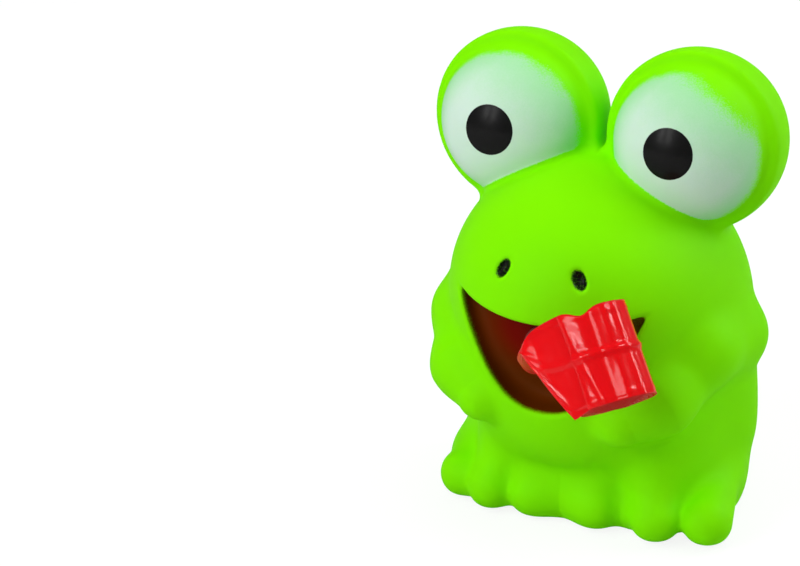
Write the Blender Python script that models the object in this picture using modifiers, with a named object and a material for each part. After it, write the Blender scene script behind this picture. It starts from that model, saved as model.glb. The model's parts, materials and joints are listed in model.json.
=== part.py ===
"""Tongue frog squeeze toy: a hollow soft vinyl frog whose rolled film tongue shoots out when it is squeezed.

The frog faces -Y and its left side is +X. The origin is the middle of the base plug's flat outer face.
"""
import math

import bmesh
import bpy
import numpy as np
from mathutils import Matrix, Vector

MM = 0.001

# Fits and walls.
FIT_GAP = 0.3 * MM
WALL = 2.2 * MM
BASE_WALL = 3.6 * MM

# Rounded forms that blend into the body: full sizes, and where their centres sit.
OVERALL_HEIGHT = 86.4 * MM
HEAD_WIDTH = 49.2 * MM
HEAD_DEPTH = 48.8 * MM
HEAD_HEIGHT = 45.2 * MM
HEAD_FORWARD = 6.5 * MM
HEAD_BELOW_TOP = 42.9 * MM
TORSO_WIDTH = 55.2 * MM
TORSO_DEPTH = 49.2 * MM
TORSO_HEIGHT = 55.0 * MM
TORSO_BACK = 1.5 * MM
TORSO_BELOW_HEAD = 7.0 * MM
BELLY_WIDTH = 42.0 * MM
BELLY_DEPTH = 37.0 * MM
BELLY_HEIGHT = 38.0 * MM
BELLY_FORWARD = 10.0 * MM
BELLY_BELOW_HEAD = 15.5 * MM
HIP_WIDTH = 31.2 * MM
HIP_DEPTH = 21.0 * MM
HIP_HEIGHT = 38.0 * MM
HIP_SPACING = 27.0 * MM
HIP_BACK = 3.0 * MM
HIP_LEVEL = 17.0 * MM
KNEE_WIDTH = 20.4 * MM
KNEE_DEPTH = 23.0 * MM
KNEE_HEIGHT = 22.0 * MM
KNEE_SPACING = 29.0 * MM
KNEE_FORWARD = 7.5 * MM
KNEE_LEVEL = 15.5 * MM
FOOT_WIDTH = 30.4 * MM
FOOT_LENGTH = 34.0 * MM
FOOT_HEIGHT = 20.0 * MM
FOOT_SPACING = 27.2 * MM
FOOT_FORWARD = 2.2 * MM
FOOT_LEVEL = 4.5 * MM
FOOT_SPLAY = math.radians(8.0)
SEAT_WIDTH = 34.0 * MM
SEAT_DEPTH = 37.0 * MM
SEAT_HEIGHT = 24.0 * MM
SEAT_FORWARD = 2.0 * MM
SEAT_LEVEL = 6.0 * MM

# Toes, from the inner one outwards: side, forward reach and radius of each tip.
TOE_SIDES = (6.2 * MM, 16.4 * MM, 23.6 * MM)
TOE_FORWARDS = (17.4 * MM, 17.4 * MM, 12.2 * MM)
TOE_RADII = (5.0 * MM, 5.3 * MM, 4.8 * MM)
TOE_TIP_LEVEL = 4.6 * MM
TOE_ROOT_LEVEL = 13.0 * MM
TOE_ROOT_SETBACK = 4.5 * MM
TOE_ROOT_GATHER = 0.9
TOE_ROOT_TAPER = 0.8

# Arms: shoulder, upper arm, elbow and hand along each flank.
SHOULDER_SIDE = 23.4 * MM
SHOULDER_BACK = 3.0 * MM
SHOULDER_BELOW_HEAD = 10.0 * MM
SHOULDER_RADIUS = 7.4 * MM
UPPER_ARM_SIDE = 22.0 * MM
UPPER_ARM_FORWARD = 9.0 * MM
UPPER_ARM_BELOW_HEAD = 8.5 * MM
UPPER_ARM_RADIUS = 7.4 * MM
ELBOW_SIDE = 18.6 * MM
ELBOW_FORWARD = 19.0 * MM
ELBOW_BELOW_HEAD = 14.0 * MM
ELBOW_RADIUS = 6.2 * MM
HAND_SIDE = 13.5 * MM
HAND_FORWARD = 23.8 * MM
HAND_BELOW_HEAD = 17.5 * MM
HAND_RADIUS = 4.4 * MM

# How far the forms run into each other where they meet.
HEAD_MELT = 7.0 * MM
BELLY_MELT = 6.0 * MM
LEG_MELT = 9.0 * MM
HIP_MELT = 8.0 * MM
TOE_MELT = 1.4 * MM
FOOT_MELT = 4.0 * MM
ARM_BEND = 3.0 * MM
ARM_MELT = 4.0 * MM
SEAT_MELT = 3.5 * MM
HOOD_MELT = 3.0 * MM
EYE_TUCK = 0.6 * MM

# Eyes: a half dome cut off by a flat rim, with an eyeball of the same centre standing out of it.
HOOD_RADIUS = 16.4 * MM
EYE_SPACING = 34.0 * MM
EYE_BACK = 2.5 * MM
RIM_FORWARD = 3.0 * MM
RIM_TILT = math.radians(5.7)
RIM_ROUNDING = 0.7 * MM
EYEBALL_RADIUS = 14.6 * MM
PUPIL_DIAMETER = 9.3 * MM
PUPIL_RISE = math.radians(7.6)
WHITE_SPREAD = math.radians(66.0)
WHITE_DROP = math.radians(10.0)

# Mouth: two parabolas that meet at the corners, sunk to a curved floor.
MOUTH_WIDTH = 34.8 * MM
MOUTH_CORNER_RISE = 2.5 * MM
UPPER_LIP_RISE = 0.8 * MM
LOWER_LIP_DROP = 16.1 * MM
MOUTH_DEPTH = 6.5 * MM
MOUTH_FLOOR_DROP = 4.0 * MM
NOSTRIL_SPACING = 14.4 * MM
NOSTRIL_RISE = 9.6 * MM
NOSTRIL_WIDTH = 2.2 * MM
NOSTRIL_HEIGHT = 3.8 * MM
NOSTRIL_DEPTH = 0.8 * MM
NOSTRIL_LEAN = math.radians(30.0)

# Base plug: a flush head, a stem through the base and a snap lip inside.
PLUG_HEAD_RADIUS = 9.2 * MM
PLUG_HEAD_THICKNESS = 1.0 * MM
PLUG_STEM_RADIUS = 7.0 * MM
PLUG_LIP_RADIUS = 8.4 * MM
PLUG_LIP_THICKNESS = 1.6 * MM
PLUG_LIP_CHAMFER = 0.6 * MM

# Nozzle: a flanged tube, barbed behind the mouth's wall, with a spigot that the film slips over.
NOZZLE_DROP = 5.5 * MM
NOZZLE_BORE_RADIUS = 1.4 * MM
NOZZLE_TUBE_RADIUS = 2.7 * MM
NOZZLE_FLANGE_RADIUS = 4.2 * MM
NOZZLE_FLANGE_THICKNESS = 1.0 * MM
NOZZLE_SPIGOT_RADIUS = 2.2 * MM
NOZZLE_SPIGOT_LENGTH = 3.4 * MM
NOZZLE_BARB_RADIUS = 3.5 * MM
NOZZLE_BARB_LENGTH = 3.0 * MM

# Film tongue: a flat film strip, wound up round an upright, leaning axis.
FILM_WIDTH = 16.0 * MM
FILM_THICKNESS = 0.6 * MM
CURL_STRIP_WIDTH = 1.6 * MM
CURL_STRIP_THICKNESS = 0.3 * MM
ROLL_TURNS = 3
ROLL_CORE_RADIUS = 1.4 * MM
ROLL_SIDE = 15.15 * MM
ROLL_FORWARD = 7.5 * MM
ROLL_RISE = 6.4 * MM
ROLL_LEAN_SIDE = math.radians(32.3)
ROLL_LEAN_BACK = math.radians(21.0)
LEAD_LENGTH = 9.0 * MM
NECK_WALL = 0.6 * MM

# Faceting.
BODY_VOXEL = 1.1 * MM
BODY_DECIMATE = 0.21
CAVITY_VOXEL = 1.8 * MM
CAVITY_DECIMATE = 0.08
SETTLE_ROUNDS = 10
LIMB_BEADS = 7
TURN_STEPS = 32
POINTS_PER_TURN = 32
NECK_SIDES = 24
NECK_RINGS = 10

# Sizes that follow from those above.
EYE_LEVEL = OVERALL_HEIGHT - HOOD_RADIUS
HEAD_LEVEL = OVERALL_HEIGHT - HEAD_BELOW_TOP
MOUTH_CORNER_LEVEL = HEAD_LEVEL + MOUTH_CORNER_RISE
UPPER_LIP_LEVEL = HEAD_LEVEL + UPPER_LIP_RISE
LOWER_LIP_LEVEL = HEAD_LEVEL - LOWER_LIP_DROP
NOSTRIL_LEVEL = HEAD_LEVEL + NOSTRIL_RISE
NOZZLE_LEVEL = HEAD_LEVEL - NOZZLE_DROP
HEAD_CENTRE = Vector((0.0, -HEAD_FORWARD, HEAD_LEVEL))
HEAD_FRONT = -HEAD_FORWARD - HEAD_DEPTH / 2
FLOOR_CENTRE = HEAD_CENTRE - Vector((0.0, 0.0, MOUTH_FLOOR_DROP))
FLOOR_SIZE = Vector((HEAD_WIDTH, HEAD_DEPTH - 2 * MOUTH_DEPTH, HEAD_HEIGHT))
ROLL_PITCH = FILM_THICKNESS + CURL_STRIP_THICKNESS + 2 * FIT_GAP
WIND_RADIUS = ROLL_CORE_RADIUS + FILM_THICKNESS / 2 + ROLL_TURNS * ROLL_PITCH

# Each rounded form's centre and size; those beside the middle are the left ones.
HEAD = (HEAD_CENTRE, (HEAD_WIDTH, HEAD_DEPTH, HEAD_HEIGHT))
TORSO = (Vector((0.0, TORSO_BACK, HEAD_LEVEL - TORSO_BELOW_HEAD)), (TORSO_WIDTH, TORSO_DEPTH, TORSO_HEIGHT))
BELLY = (Vector((0.0, -BELLY_FORWARD, HEAD_LEVEL - BELLY_BELOW_HEAD)), (BELLY_WIDTH, BELLY_DEPTH, BELLY_HEIGHT))
SEAT = (Vector((0.0, -SEAT_FORWARD, SEAT_LEVEL)), (SEAT_WIDTH, SEAT_DEPTH, SEAT_HEIGHT))
HIP = (Vector((HIP_SPACING / 2, HIP_BACK, HIP_LEVEL)), (HIP_WIDTH, HIP_DEPTH, HIP_HEIGHT))
KNEE = (Vector((KNEE_SPACING / 2, -KNEE_FORWARD, KNEE_LEVEL)), (KNEE_WIDTH, KNEE_DEPTH, KNEE_HEIGHT))
FOOT = (Vector((FOOT_SPACING / 2, -FOOT_FORWARD, FOOT_LEVEL)), (FOOT_WIDTH, FOOT_LENGTH, FOOT_HEIGHT))
ARM = (
    (Vector((SHOULDER_SIDE, SHOULDER_BACK, HEAD_LEVEL - SHOULDER_BELOW_HEAD)), SHOULDER_RADIUS),
    (Vector((UPPER_ARM_SIDE, -UPPER_ARM_FORWARD, HEAD_LEVEL - UPPER_ARM_BELOW_HEAD)), UPPER_ARM_RADIUS),
    (Vector((ELBOW_SIDE, -ELBOW_FORWARD, HEAD_LEVEL - ELBOW_BELOW_HEAD)), ELBOW_RADIUS),
    (Vector((HAND_SIDE, -HAND_FORWARD, HEAD_LEVEL - HAND_BELOW_HEAD)), HAND_RADIUS),
)


def clear_scene():
    for item in list(bpy.data.objects):
        bpy.data.objects.remove(item, do_unlink=True)


def make_collection(name):
    collection = bpy.data.collections.new(name)
    bpy.context.scene.collection.children.link(collection)
    return collection


def make_material(name, colour, roughness):
    material = bpy.data.materials.new(name)
    material.use_nodes = True
    shader = material.node_tree.nodes["Principled BSDF"]
    shader.inputs["Base Color"].default_value = (*colour, 1.0)
    shader.inputs["Roughness"].default_value = roughness
    shader.inputs["Metallic"].default_value = 0.0
    material.diffuse_color = (*colour, 1.0)
    return material


def make_object(name, bm, collection, materials):
    mesh = bpy.data.meshes.new(name)
    bmesh.ops.recalc_face_normals(bm, faces=bm.faces)
    bm.to_mesh(mesh)
    bm.free()
    for material in materials:
        mesh.materials.append(material)
    mesh.shade_smooth()
    mesh.set_sharp_from_angle(angle=math.radians(35.0))
    result = bpy.data.objects.new(name, mesh)
    collection.objects.link(result)
    if collection is CUTTERS:
        result.hide_render = True
        result.display_type = "WIRE"
    return result


def cut(target, tool, operation="DIFFERENCE"):
    modifier = target.modifiers.new(tool.name, "BOOLEAN")
    modifier.operation = operation
    modifier.object = tool
    modifier.solver = "EXACT"
    modifier.material_mode = "TRANSFER"


def add_ellipsoid(bm, centre, size, turn=0.0, segments=28):
    place = Matrix.Translation(centre) @ Matrix.Rotation(turn, 4, "Z")
    stretch = Matrix.Diagonal((size[0] / 2, size[1] / 2, size[2] / 2, 1.0))
    bmesh.ops.create_uvsphere(bm, u_segments=segments, v_segments=segments // 2, radius=1.0, matrix=place @ stretch)


def add_limb(bm, joints):
    for (start, start_radius), (end, end_radius) in zip(joints, joints[1:]):
        for step in range(LIMB_BEADS + 1):
            share = step / LIMB_BEADS
            radius = start_radius + (end_radius - start_radius) * share
            centre = start.lerp(end, share)
            add_ellipsoid(bm, centre, (2 * radius, 2 * radius, 2 * radius), segments=16)


def aim(centre, direction):
    """Places a piece at a point, with its local Z along a direction."""
    return Matrix.Translation(centre) @ direction.to_track_quat("Z", "Y").to_matrix().to_4x4()


def add_dome(bm, side, radius, rim, segments=32):
    """The sphere of an eye hood, cut off flat a little in front of its centre."""
    dome = bmesh.new()
    bmesh.ops.create_uvsphere(dome, u_segments=segments, v_segments=segments // 2, radius=radius)
    parts = dome.verts[:] + dome.edges[:] + dome.faces[:]
    bmesh.ops.bisect_plane(dome, geom=parts, plane_co=(0, 0, rim), plane_no=(0, 0, 1), clear_outer=True)
    open_edges = [edge for edge in dome.edges if edge.is_boundary]
    bmesh.ops.holes_fill(dome, edges=open_edges)
    dome.transform(aim(eye_centre(side), rim_direction()))
    mesh = bpy.data.meshes.new("dome")
    dome.to_mesh(mesh)
    dome.free()
    bm.from_mesh(mesh)
    bpy.data.meshes.remove(mesh)


def eye_centre(side):
    return Vector((side * EYE_SPACING / 2, EYE_BACK, EYE_LEVEL))


def rim_direction():
    return Vector((0.0, -math.cos(RIM_TILT), math.sin(RIM_TILT)))


def shrink(size, inset):
    return tuple(value - 2 * inset for value in size)


def on_side(point, side):
    return Vector((side * point.x, point.y, point.z))


def toe_joints():
    """Root and tip of each left toe, with their radii."""
    for across, forward, radius in zip(TOE_SIDES, TOE_FORWARDS, TOE_RADII):
        root = Vector((across * TOE_ROOT_GATHER, TOE_ROOT_SETBACK - forward, TOE_ROOT_LEVEL))
        yield (root, radius * TOE_ROOT_TAPER), (Vector((across, -forward, TOE_TIP_LEVEL)), radius)


def add_body_forms(bm, inset):
    """Every rounded form of the body, drawn in by a wall for the air space inside."""
    for centre, size in (TORSO, HEAD, BELLY, SEAT):
        add_ellipsoid(bm, centre, shrink(size, inset))
    tuck = max(inset, EYE_TUCK)
    eyeball = 2 * (EYEBALL_RADIUS - tuck)
    for side in (1, -1):
        for centre, size in (HIP, KNEE):
            add_ellipsoid(bm, on_side(centre, side), shrink(size, inset))
        add_ellipsoid(bm, on_side(FOOT[0], side), shrink(FOOT[1], inset), side * FOOT_SPLAY)
        add_limb(bm, [(on_side(point, side), radius - inset) for point, radius in ARM])
        for joints in toe_joints():
            add_limb(bm, [(on_side(point, side), radius - inset) for point, radius in joints])
        add_dome(bm, side, HOOD_RADIUS - tuck, RIM_FORWARD - tuck)
        add_ellipsoid(bm, eye_centre(side), (eyeball, eyeball, eyeball))


def egg_field(points, form, turn=0.0):
    """About how far points lie outside an ellipsoid; inside it the value is below zero."""
    away = points - np.array(form[0])
    away = away @ np.array(Matrix.Rotation(turn, 3, "Z"))
    half = np.array(form[1]) / 2
    reach = np.linalg.norm(away / half, axis=1)
    slope = np.linalg.norm(away / half ** 2, axis=1)
    return reach * (reach - 1.0) / np.maximum(slope, 1.0)


def limb_field(points, joints, bend):
    """The same for a limb that tapers from joint to joint."""
    limb = None
    for (start, start_radius), (end, end_radius) in zip(joints, joints[1:]):
        along = np.array(end - start)
        away = points - np.array(start)
        share = np.clip(away @ along / (along @ along), 0.0, 1.0)
        radius = start_radius + (end_radius - start_radius) * share
        bone = np.linalg.norm(away - share[:, None] * along, axis=1) - radius
        limb = bone if limb is None else melt(limb, bone, bend)
    return limb


def melt(first, second, reach):
    """Joins two fields with a soft fillet."""
    share = np.clip(0.5 + 0.5 * (second - first) / reach, 0.0, 1.0)
    return second + (first - second) * share - reach * share * (1.0 - share)


def skin_field(points):
    """How far points lie outside the whole moulding, its forms softly joined and its right half mirrored."""
    points = points * np.where(points[:, :1] < 0.0, (-1.0, 1.0, 1.0), 1.0)
    skin = melt(egg_field(points, TORSO), egg_field(points, HEAD), HEAD_MELT)
    skin = melt(skin, egg_field(points, BELLY), BELLY_MELT)
    leg = melt(egg_field(points, HIP), egg_field(points, KNEE), LEG_MELT)
    skin = melt(skin, leg, HIP_MELT)
    foot = egg_field(points, FOOT, FOOT_SPLAY)
    for joints in toe_joints():
        foot = melt(foot, limb_field(points, joints, TOE_MELT), TOE_MELT)
    skin = melt(skin, foot, FOOT_MELT)
    skin = melt(skin, limb_field(points, ARM, ARM_BEND), ARM_MELT)
    skin = melt(skin, egg_field(points, SEAT), SEAT_MELT)
    away = points - np.array(eye_centre(1))
    reach = np.linalg.norm(away, axis=1) + EYE_TUCK
    rim = away @ np.array(rim_direction()) - RIM_FORWARD + EYE_TUCK
    skin = melt(skin, np.maximum(reach - HOOD_RADIUS, rim), HOOD_MELT)
    return np.minimum(skin, reach - EYEBALL_RADIUS)


def pull(points, inset):
    """Moves points along the field's slope towards the skin, or to the same depth under it."""
    step = BODY_VOXEL / 10
    slope = np.empty_like(points)
    for axis, nudge in enumerate(np.eye(3) * step):
        slope[:, axis] = (skin_field(points + nudge) - skin_field(points - nudge)) / (2 * step)
    depth = np.clip(skin_field(points) + inset, -BODY_VOXEL, BODY_VOXEL)
    return points - slope * (depth / np.maximum((slope ** 2).sum(axis=1), 0.1))[:, None]


def even_out(points, edges):
    """Moves every point half way to the middle of its neighbours."""
    total = np.zeros_like(points)
    count = np.zeros(len(points))
    for here, there in ((0, 1), (1, 0)):
        np.add.at(total, edges[:, here], points[edges[:, there]])
        np.add.at(count, edges[:, here], 1.0)
    return (points + total / count[:, None]) / 2


def settle(target, voxel, inset, decimate):
    """Wraps overlapping forms in one mesh and settles it on the softly joined skin."""
    remesh = target.modifiers.new("wrap", "REMESH")
    remesh.mode = "VOXEL"
    remesh.voxel_size = voxel
    remesh.use_smooth_shade = True
    bpy.context.view_layer.update()
    graph = bpy.context.evaluated_depsgraph_get()
    mesh = bpy.data.meshes.new_from_object(target.evaluated_get(graph))
    target.modifiers.clear()
    target.data = mesh
    points = np.empty(3 * len(mesh.vertices))
    edges = np.empty(2 * len(mesh.edges), dtype=np.int32)
    mesh.vertices.foreach_get("co", points)
    mesh.edges.foreach_get("vertices", edges)
    points = points.reshape(-1, 3)
    edges = edges.reshape(-1, 2)
    for _ in range(SETTLE_ROUNDS):
        points = pull(even_out(points, edges), inset)
    points = pull(points, inset)
    mesh.vertices.foreach_set("co", points.ravel())
    mesh.update()
    reduce = target.modifiers.new("reduce", "DECIMATE")
    reduce.ratio = decimate


def make_box(name, centre, size):
    bm = bmesh.new()
    bmesh.ops.create_cube(bm, size=1.0, matrix=Matrix.Translation(centre) @ Matrix.Diagonal((*size, 1.0)))
    return make_object(name, bm, CUTTERS, [VINYL])


def make_hood(side):
    bm = bmesh.new()
    add_dome(bm, side, HOOD_RADIUS, RIM_FORWARD)
    hood = make_object("eye_hood_form" + SIDE_NAMES[side], bm, CUTTERS, [VINYL])
    bevel = hood.modifiers.new("rim_rounding", "BEVEL")
    bevel.width = RIM_ROUNDING
    bevel.segments = 2
    bevel.limit_method = "ANGLE"
    bevel.angle_limit = math.radians(45.0)
    return hood


def make_eyeball(side):
    """A sphere with its pole at the pupil, painted white round it and black on it."""
    pupil = Vector((0.0, -math.cos(PUPIL_RISE), math.sin(PUPIL_RISE)))
    paint = Vector((0.0, -math.cos(WHITE_DROP), -math.sin(WHITE_DROP)))
    pupil_angle = math.asin(PUPIL_DIAMETER / 2 / EYEBALL_RADIUS)
    centre = eye_centre(side)
    bm = bmesh.new()
    bmesh.ops.create_uvsphere(bm, u_segments=28, v_segments=20, radius=EYEBALL_RADIUS, matrix=aim(centre, pupil))
    for face in bm.faces:
        outward = face.calc_center_median() - centre
        if outward.angle(paint) < WHITE_SPREAD:
            face.material_index = 1
        if outward.angle(pupil) < pupil_angle:
            face.material_index = 2
    return make_object("eyeball_form" + SIDE_NAMES[side], bm, CUTTERS, [VINYL, EYE_WHITE, BLACK])


def mouth_outline(grow):
    """Points round the mouth, seen from the front, pushed out by an even margin."""
    half = MOUTH_WIDTH / 2 + grow
    count = 14
    points = []
    for step in range(count + 1):
        across = -1.0 + 2.0 * step / count
        rise = (MOUTH_CORNER_LEVEL - LOWER_LIP_LEVEL) * across ** 2
        points.append((across * half, LOWER_LIP_LEVEL - grow + rise))
    for step in range(1, count):
        across = 1.0 - 2.0 * step / count
        rise = (MOUTH_CORNER_LEVEL - UPPER_LIP_LEVEL) * across ** 2
        points.append((across * half, UPPER_LIP_LEVEL + grow + rise))
    return points


def make_mouth(name, grow, material):
    """The space of the mouth in front of its floor, or the same grown by the wall."""
    front = HEAD_FRONT - MOUTH_DEPTH
    bm = bmesh.new()
    ring = [bm.verts.new((across, front, level)) for across, level in mouth_outline(grow)]
    face = bm.faces.new(ring)
    grown = bmesh.ops.extrude_face_region(bm, geom=[face])
    moved = [item for item in grown["geom"] if isinstance(item, bmesh.types.BMVert)]
    bmesh.ops.translate(bm, verts=moved, vec=(0.0, FLOOR_CENTRE.y - front, 0.0))
    mouth = make_object(name, bm, CUTTERS, [material])
    floor = bmesh.new()
    add_ellipsoid(floor, FLOOR_CENTRE, shrink(FLOOR_SIZE, grow), segments=36)
    cut(mouth, make_object(name + "_floor", floor, CUTTERS, [material]))
    return mouth


def floor_front(inset, across=0.0, level=NOZZLE_LEVEL):
    """Where the mouth's floor stands along Y, at the nozzle or beside it."""
    half = FLOOR_SIZE / 2 - Vector((inset, inset, inset))
    rise = (level - FLOOR_CENTRE.z) / half.z
    return FLOOR_CENTRE.y - half.y * math.sqrt(1.0 - rise ** 2 - (across / half.x) ** 2)


def make_nostril(side):
    across = side * NOSTRIL_SPACING / 2
    rise = (NOSTRIL_LEVEL - HEAD_LEVEL) / (HEAD_HEIGHT / 2)
    spread = across / (HEAD_WIDTH / 2)
    front = -HEAD_FORWARD - HEAD_DEPTH / 2 * math.sqrt(1.0 - rise ** 2 - spread ** 2)
    turn = Matrix.Rotation(-side * NOSTRIL_LEAN, 4, "Y")
    slope = Matrix.Rotation(-math.asin(rise), 4, "X")
    stretch = Matrix.Diagonal((NOSTRIL_WIDTH / 2, NOSTRIL_DEPTH, NOSTRIL_HEIGHT / 2, 1.0))
    bm = bmesh.new()
    place = Matrix.Translation((across, front, NOSTRIL_LEVEL)) @ slope @ turn @ stretch
    bmesh.ops.create_uvsphere(bm, u_segments=14, v_segments=8, radius=1.0, matrix=place)
    return make_object("nostril_dent" + SIDE_NAMES[side], bm, CUTTERS, [BLACK])


def make_turned(name, profile, collection, material, closed=False):
    """A profile of radius and height pairs, run down its outer side and turned about local Z."""
    bm = bmesh.new()
    verts = [bm.verts.new((radius, 0.0, height)) for radius, height in profile]
    for first, second in zip(verts, verts[1:]):
        bm.edges.new((first, second))
    if closed:
        bm.edges.new((verts[-1], verts[0]))
    turned = make_object(name, bm, collection, [material])
    screw = turned.modifiers.new("turn", "SCREW")
    screw.axis = "Z"
    screw.angle = 2 * math.pi
    screw.steps = TURN_STEPS
    screw.render_steps = TURN_STEPS
    screw.use_merge_vertices = True
    screw.merge_threshold = 0.00001
    screw.use_smooth_shade = False
    return turned


def make_body_shell():
    bm = bmesh.new()
    add_body_forms(bm, 0.0)
    body = make_object("body_shell", bm, PARTS, [VINYL])
    settle(body, BODY_VOXEL, 0.0, BODY_DECIMATE)
    for side in (1, -1):
        cut(body, make_hood(side), "UNION")
    for side in (1, -1):
        cut(body, make_eyeball(side), "UNION")
    reach = 2 * TORSO_WIDTH
    cut(body, make_box("below_base", (0.0, 0.0, -reach / 2), (reach, reach, reach)))
    cut(body, make_mouth("mouth_space", 0.0, MOUTH_RED))
    for side in (1, -1):
        cut(body, make_nostril(side))
    cut(body, make_cavity(reach))
    head_top = PLUG_HEAD_THICKNESS + FIT_GAP
    hole = [(0.0, 2 * BASE_WALL), (PLUG_STEM_RADIUS + FIT_GAP, 2 * BASE_WALL)]
    hole += [(PLUG_STEM_RADIUS + FIT_GAP, head_top), (PLUG_HEAD_RADIUS + FIT_GAP, head_top)]
    hole += [(PLUG_HEAD_RADIUS + FIT_GAP, -BASE_WALL), (0.0, -BASE_WALL)]
    cut(body, make_turned("plug_hole", hole, CUTTERS, VINYL))
    nozzle_hole = NOZZLE_TUBE_RADIUS + FIT_GAP
    drill = [(0.0, 2 * WALL), (nozzle_hole, 2 * WALL), (nozzle_hole, -3 * WALL), (0.0, -3 * WALL)]
    drilled = make_turned("nozzle_hole", drill, CUTTERS, VINYL)
    seat_at(drilled, floor_front(0.0))
    cut(body, drilled)
    return body


def make_cavity(reach):
    """The air space: the body's forms less the wall, clear of the mouth and of the base."""
    bm = bmesh.new()
    add_body_forms(bm, WALL)
    cavity = make_object("air_space", bm, CUTTERS, [VINYL])
    settle(cavity, CAVITY_VOXEL, WALL, CAVITY_DECIMATE)
    cut(cavity, make_mouth("mouth_wall", WALL, VINYL))
    cut(cavity, make_box("base_floor", (0.0, 0.0, BASE_WALL - reach / 2), (reach, reach, reach)))
    return cavity


def seat_at(piece, depth):
    """Turns a piece's local Z out of the mouth and sets its zero at a depth along Y."""
    piece.rotation_euler = (math.pi / 2, 0.0, 0.0)
    piece.location = (0.0, depth, NOZZLE_LEVEL)


def make_base_plug():
    lip_base = BASE_WALL + FIT_GAP
    top = lip_base + PLUG_LIP_THICKNESS
    profile = [(0.0, top), (PLUG_LIP_RADIUS - PLUG_LIP_CHAMFER, top), (PLUG_LIP_RADIUS, top - PLUG_LIP_CHAMFER)]
    profile += [(PLUG_LIP_RADIUS, lip_base), (PLUG_STEM_RADIUS, lip_base)]
    profile += [(PLUG_STEM_RADIUS, PLUG_HEAD_THICKNESS), (PLUG_HEAD_RADIUS, PLUG_HEAD_THICKNESS)]
    profile += [(PLUG_HEAD_RADIUS, 0.0), (0.0, 0.0)]
    return make_turned("base_plug", profile, PARTS, PLUG_CLEAR)


def make_nozzle():
    """Local zero is the back of the flange, one fit in front of the mouth's floor."""
    wall_inside = floor_front(WALL, NOZZLE_BARB_RADIUS, NOZZLE_LEVEL - NOZZLE_BARB_RADIUS)
    wall_back = floor_front(0.0) - wall_inside - 2 * FIT_GAP
    spigot_end = NOZZLE_FLANGE_THICKNESS + NOZZLE_SPIGOT_LENGTH
    barb_end = wall_back - NOZZLE_BARB_LENGTH
    profile = [(NOZZLE_SPIGOT_RADIUS, spigot_end), (NOZZLE_SPIGOT_RADIUS, NOZZLE_FLANGE_THICKNESS)]
    profile += [(NOZZLE_FLANGE_RADIUS, NOZZLE_FLANGE_THICKNESS), (NOZZLE_FLANGE_RADIUS, 0.0)]
    profile += [(NOZZLE_TUBE_RADIUS, 0.0), (NOZZLE_TUBE_RADIUS, wall_back), (NOZZLE_BARB_RADIUS, wall_back)]
    profile += [(NOZZLE_SPIGOT_RADIUS, barb_end), (NOZZLE_BORE_RADIUS, barb_end), (NOZZLE_BORE_RADIUS, spigot_end)]
    nozzle = make_turned("tongue_nozzle", profile, PARTS, NOZZLE_WHITE, closed=True)
    seat_at(nozzle, floor_front(0.0) - FIT_GAP)
    return nozzle


class TonguePath:
    """The roll's own frame: local Z up its axis, local X out to where the film meets it, local Y the way it runs."""

    def __init__(self):
        flange_front = floor_front(0.0) - FIT_GAP - NOZZLE_FLANGE_THICKNESS
        self.sleeve_start = Vector((0.0, flange_front - FIT_GAP, NOZZLE_LEVEL))
        self.sleeve_end = Vector((0.0, flange_front - NOZZLE_SPIGOT_LENGTH - FIT_GAP, NOZZLE_LEVEL))
        self.centre = Vector((ROLL_SIDE, HEAD_FRONT - ROLL_FORWARD, NOZZLE_LEVEL + ROLL_RISE))
        across = -math.sin(ROLL_LEAN_SIDE) * math.cos(ROLL_LEAN_BACK)
        upward = math.cos(ROLL_LEAN_SIDE) * math.cos(ROLL_LEAN_BACK)
        self.up = Vector((across, math.sin(ROLL_LEAN_BACK), upward)).normalized()
        to_roll = self.centre - self.sleeve_end
        to_roll -= self.up * to_roll.dot(self.up)
        ahead = to_roll.normalized()
        beside = ahead.cross(self.up)
        spread = math.asin(WIND_RADIUS / to_roll.length)
        self.run = (ahead * math.cos(spread) + beside * math.sin(spread)).normalized()
        self.out = (beside * math.cos(spread) - ahead * math.sin(spread)).normalized()
        self.meet = self.centre + self.out * WIND_RADIUS
        self.lead_start = self.meet - self.run * LEAD_LENGTH

    def frame(self, origin):
        turn = Matrix((self.out, self.run, self.up)).transposed().to_4x4()
        return Matrix.Translation(origin) @ turn


def make_empty(name, frame):
    empty = bpy.data.objects.new(name, None)
    empty.empty_display_size = ROLL_CORE_RADIUS
    empty.matrix_world = frame
    PARTS.objects.link(empty)
    return empty


def smooth_step(share):
    return share * share * (3.0 - 2.0 * share)


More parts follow.
